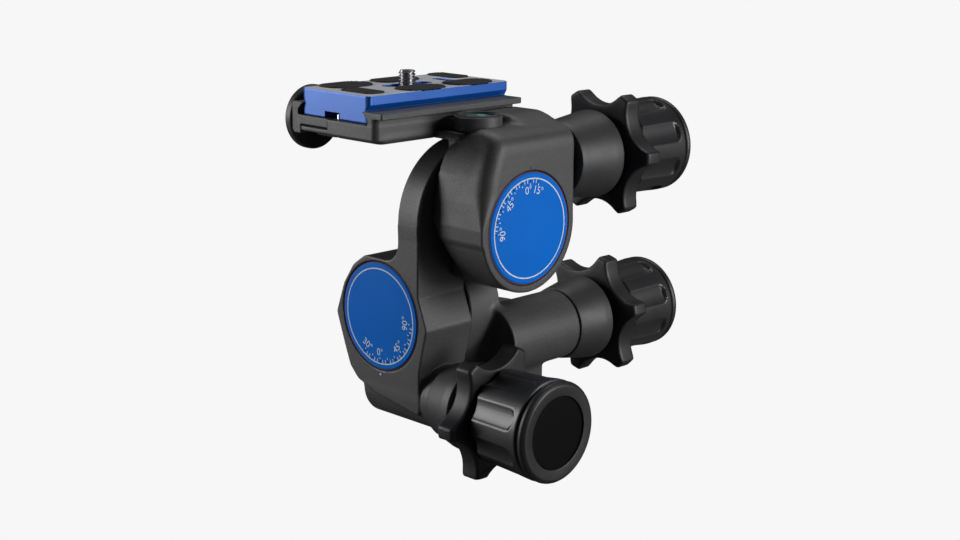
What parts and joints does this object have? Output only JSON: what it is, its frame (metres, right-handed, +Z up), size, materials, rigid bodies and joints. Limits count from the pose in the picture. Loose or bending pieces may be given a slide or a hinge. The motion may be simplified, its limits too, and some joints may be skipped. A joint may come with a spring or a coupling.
{
  "type": "geared tripod head",
  "caption": "Three-axis geared tripod head: offset arm, three worm-drive knobs with release rings, two tilt dials, bubble level and a screw clamp with a dovetail camera plate.",
  "frame": {"origin": "centre of the tripod thread's mouth, on the pan axis at the base's underside", "axes": "+Z up along the pan axis, +X towards the front tilt knob, -Y towards the lower scale disc"},
  "size_m": [0.1155, 0.1436, 0.143],
  "materials": {
    "powder_coat": "fine textured black powder coat",
    "sleeve_black": "satin black",
    "knob_gloss": "glossy moulded black",
    "ring_black": "satin moulded black",
    "cap_rubber": "ribbed matt rubber",
    "dial_blue": "satin blue anodised with white print",
    "gear_brass": "machined",
    "steel": "machined",
    "index_white": "white paint",
    "vial_green": "green spirit level",
    "plate_anodised": "blue anodised with a milled silver top"
  },
  "bodies": {
    "base": {"base_plate": "powder_coat", "thread_insert": "steel", "pan_wheel": "gear_brass"},
    "pan_body": {"pan_housing": "powder_coat", "pan_shaft": "steel", "pan_nut": "steel", "pan_washer": "gear_brass", "pan_sleeve": "sleeve_black", "pan_worm_bushes": "gear_brass", "tilt_shaft": "steel", "tilt_wheel": "gear_brass", "tilt_shaft_screw": "steel", "tilt_scale_disc": "dial_blue"},
    "pan_drive": {"pan_worm": "steel", "pan_knob_grip": "knob_gloss", "pan_knob_cap": "cap_rubber"},
    "pan_ring": {"pan_release_ring": "ring_black"},
    "arm_body": {"arm": "powder_coat", "tilt_bushes": "gear_brass", "tilt_chamber_cover": "powder_coat", "tilt_index_dot": "index_white", "tilt_sleeve": "sleeve_black", "tilt_worm_bushes": "gear_brass", "side_shaft": "steel", "side_wheel": "gear_brass", "side_shaft_screw": "steel", "side_scale_disc": "dial_blue"},
    "tilt_drive": {"tilt_worm": "steel", "tilt_knob_grip": "knob_gloss", "tilt_knob_cap": "cap_rubber"},
    "tilt_ring": {"tilt_release_ring": "ring_black"},
    "head": {"upper_housing": "powder_coat", "side_bushes": "gear_brass", "side_chamber_cover": "powder_coat", "side_index_dot": "index_white", "side_sleeve": "sleeve_black", "side_worm_bushes": "gear_brass", "clamp_body": "powder_coat", "clamp_bolts": "steel", "level_bezel": "ring_black", "level_vial": "vial_green", "clamp_screw": "steel"},
    "side_drive": {"side_worm": "steel", "side_knob_grip": "knob_gloss", "side_knob_cap": "cap_rubber"},
    "side_ring": {"side_release_ring": "ring_black"},
    "jaw": {"moving_jaw": "powder_coat"},
    "jaw_knob": {"clamp_knob": "ring_black"},
    "pin": {"safety_pin": "steel"},
    "plate": {"quick_release_plate": "plate_anodised", "plate_pads": "cap_rubber"},
    "washer": {"screw_washer": "steel"},
    "screw": {"camera_screw": "steel"}
  },
  "joints": [
    {"name": "pan", "type": "hinge", "parent": "base", "child": "pan_body", "pos_m": [0, 0, 0], "axis": [0, 0, 1], "continuous": true},
    {"name": "front_tilt", "type": "hinge", "parent": "pan_body", "child": "arm_body", "pos_m": [0, -0.04, 0.05], "axis": [0, -1, 0], "range_deg": [-30, 90]},
    {"name": "side_tilt", "type": "hinge", "parent": "arm_body", "child": "head", "pos_m": [0.03, -0.021, 0.086], "axis": [1, 0, 0], "range_deg": [-15, 90]},
    {"name": "pan_knob_turn", "type": "hinge", "parent": "pan_body", "child": "pan_drive", "pos_m": [0.021, 0, 0.0375], "axis": [0, 1, 0], "continuous": true},
    {"name": "tilt_knob_turn", "type": "hinge", "parent": "arm_body", "child": "tilt_drive", "pos_m": [0, -0.0391, 0.021], "axis": [1, 0, 0], "range_deg": [-1260, 3780]},
    {"name": "side_knob_turn", "type": "hinge", "parent": "head", "child": "side_drive", "pos_m": [0.0362, -0.021, 0.107], "axis": [0, 1, 0], "range_deg": [-2340, 390]},
    {"name": "pan_release", "type": "hinge", "parent": "pan_body", "child": "pan_ring", "pos_m": [0.021, 0, 0.0375], "axis": [0, 1, 0], "range_deg": [0, 40], "stiffness_Nm_per_rad": 0.3},
    {"name": "tilt_release", "type": "hinge", "parent": "arm_body", "child": "tilt_ring", "pos_m": [0, -0.0391, 0.021], "axis": [1, 0, 0], "range_deg": [0, 40], "stiffness_Nm_per_rad": 0.3},
    {"name": "side_release", "type": "hinge", "parent": "head", "child": "side_ring", "pos_m": [0.0362, -0.021, 0.107], "axis": [0, 1, 0], "range_deg": [0, 40], "stiffness_Nm_per_rad": 0.3},
    {"name": "jaw_slide", "type": "slide", "parent": "head", "child": "jaw", "axis": [-1, 0, 0], "range_m": [0, 0.0025]},
    {"name": "clamp_knob_turn", "type": "hinge", "parent": "jaw", "child": "jaw_knob", "pos_m": [-0.034, -0.054, 0.1214], "axis": [-1, 0, 0], "range_deg": [0, 900]},
    {"name": "safety_pin_press", "type": "slide", "parent": "head", "child": "pin", "axis": [0, 0, -1], "range_m": [0, 0.0022], "stiffness_N_per_m": 800, "springref_m": -0.001},
    {"name": "plate_slide", "type": "slide", "parent": "head", "child": "plate", "axis": [0, 1, 0], "range_m": [-0.006, 0.006]},
    {"name": "screw_slide", "type": "slide", "parent": "plate", "child": "washer", "axis": [0, 1, 0], "range_m": [-0.008, 0.008]},
    {"name": "camera_screw_turn", "type": "hinge", "parent": "washer", "child": "screw", "pos_m": [-0.0082, -0.0296, 0.13], "axis": [0, 0, 1], "continuous": true}
  ],
  "couplings": [
    {"joint": "pan_knob_turn", "follows": "pan", "ratio": 26},
    {"joint": "tilt_knob_turn", "follows": "front_tilt", "ratio": 42},
    {"joint": "side_knob_turn", "follows": "side_tilt", "ratio": -26},
    {"joint": "clamp_knob_turn", "follows": "jaw_slide", "rad_per_m": 6283.2}
  ]
}
